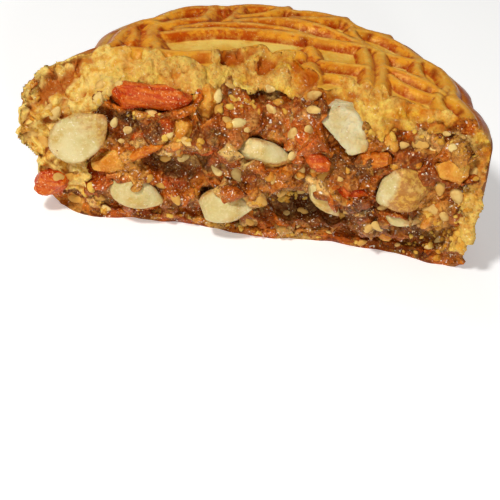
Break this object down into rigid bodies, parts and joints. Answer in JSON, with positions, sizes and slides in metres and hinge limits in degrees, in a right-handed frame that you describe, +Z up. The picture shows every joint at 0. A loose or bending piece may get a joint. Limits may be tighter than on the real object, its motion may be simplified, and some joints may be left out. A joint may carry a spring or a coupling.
{
  "type": "mooncake",
  "caption": "Half of a round baked mooncake broken open by hand: lobed pastry with a moulded leaf relief round a sticky filling of kernels, seeds and candied fruit.",
  "frame": {"origin": "where the round cake's own axis meets the flat underside, close behind the middle of the broken face's foot", "axes": "+Z up along the cake's own axis; -Y out of the broken face; +X along the broken face, to the right seen from its front"},
  "size_m": [0.0928, 0.0486, 0.034],
  "materials": {
    "pastry": "baked and egg-washed, matte where it is broken",
    "filling": "sticky and glossy",
    "kernel": "smooth with a thin syrup coat",
    "candied_melon": "translucent and glazed",
    "candied_red": "wet and glossy",
    "candied_orange": "translucent, wet and glossy",
    "amber_nut": "glazed with syrup"
  },
  "bodies": {
    "root": {"pastry": "pastry", "filling": "filling", "kernel_left": "kernel", "kernel_low_left": "kernel", "kernel_low_middle": "kernel", "kernel_middle": "kernel", "kernel_right": "kernel", "kernel_under": "kernel", "kernel_buried": "kernel", "melon_cube": "candied_melon", "red_strip": "candied_red", "red_corner": "candied_red", "red_middle": "candied_red", "red_right": "candied_red", "orange_strip": "candied_orange", "orange_fruit": "candied_orange", "amber_nut_top": "amber_nut", "amber_nut_middle": "amber_nut", "amber_nut_left": "amber_nut", "nut_right": "amber_nut"}
  },
  "joints": []
}
